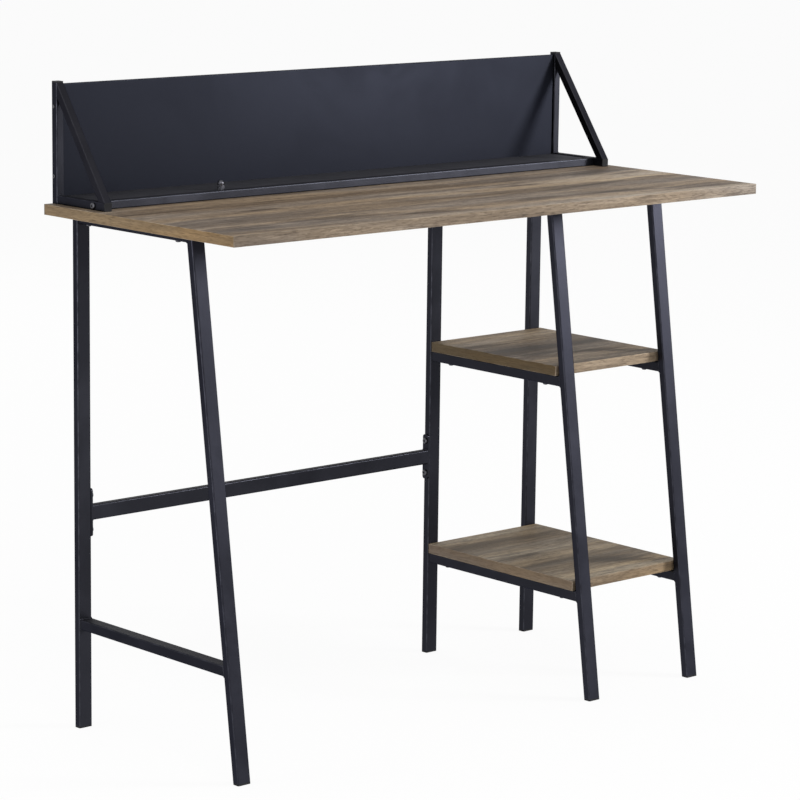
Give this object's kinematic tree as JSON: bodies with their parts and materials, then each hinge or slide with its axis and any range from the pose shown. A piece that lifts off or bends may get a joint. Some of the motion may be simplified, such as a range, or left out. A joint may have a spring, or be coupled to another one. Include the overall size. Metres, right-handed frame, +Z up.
{
  "type": "writing desk",
  "caption": "Writing desk with a wood-look top and open side shelves on a dark tube frame with splayed front legs, and a low hutch with a back panel and tray.",
  "frame": {"origin": "on the floor under the middle of the desktop", "axes": "+X along the desktop's length to the user's right, +Y to the rear, +Z up"},
  "size_m": [1, 0.42, 0.93],
  "materials": {
    "wood_look_board": "grey-brown wood-look laminate, matt, with banded edges",
    "dark_tube": "satin black-blue powder coat",
    "dark_sheet": "satin black-blue powder coat",
    "black_plastic": "matt moulded plastic",
    "fastener_steel": "blackened steel",
    "zinc": "zinc plated",
    "bright_nut": "bright plated"
  },
  "bodies": {
    "root": {"desktop": "wood_look_board", "upper_shelf": "wood_look_board", "lower_shelf": "wood_look_board", "left_rear_leg": "dark_tube", "left_front_leg": "dark_tube", "left_top_rail": "dark_tube", "middle_rear_leg": "dark_tube", "middle_front_leg": "dark_tube", "middle_top_rail": "dark_tube", "right_rear_leg": "dark_tube", "right_front_leg": "dark_tube", "right_top_rail": "dark_tube", "left_crossbar": "dark_tube", "stretcher_tube": "dark_tube", "stretcher_left_plate": "dark_tube", "stretcher_right_plate": "dark_tube", "middle_upper_shelf_rail": "dark_tube", "middle_lower_shelf_rail": "dark_tube", "right_upper_shelf_rail": "dark_tube", "right_lower_shelf_rail": "dark_tube", "hutch_left_post": "dark_tube", "hutch_left_base_rail": "dark_tube", "hutch_left_brace": "dark_tube", "hutch_right_post": "dark_tube", "hutch_right_base_rail": "dark_tube", "hutch_right_brace": "dark_tube", "hutch_front_rail": "dark_tube", "back_panel": "dark_sheet", "tray_floor": "dark_sheet", "left_rear_foot_cap": "black_plastic", "left_front_foot_cap": "black_plastic", "middle_rear_foot_cap": "black_plastic", "middle_front_foot_cap": "black_plastic", "right_rear_foot_cap": "black_plastic", "right_front_foot_cap": "black_plastic", "hutch_left_post_cap": "black_plastic", "hutch_left_base_rail_cap": "black_plastic", "hutch_right_post_cap": "black_plastic", "hutch_right_base_rail_cap": "black_plastic", "desktop_screws": "fastener_steel", "shelf_screws": "fastener_steel", "stretcher_bolts": "fastener_steel", "front_rail_bolts": "fastener_steel", "panel_bolts": "fastener_steel", "hutch_bolts": "fastener_steel", "tray_bolt": "fastener_steel", "stretcher_nuts": "zinc", "panel_nuts": "zinc", "hutch_nuts": "zinc", "front_rail_left_plug": "zinc", "front_rail_right_plug": "zinc", "tray_cap_nut": "bright_nut"}
  },
  "joints": []
}
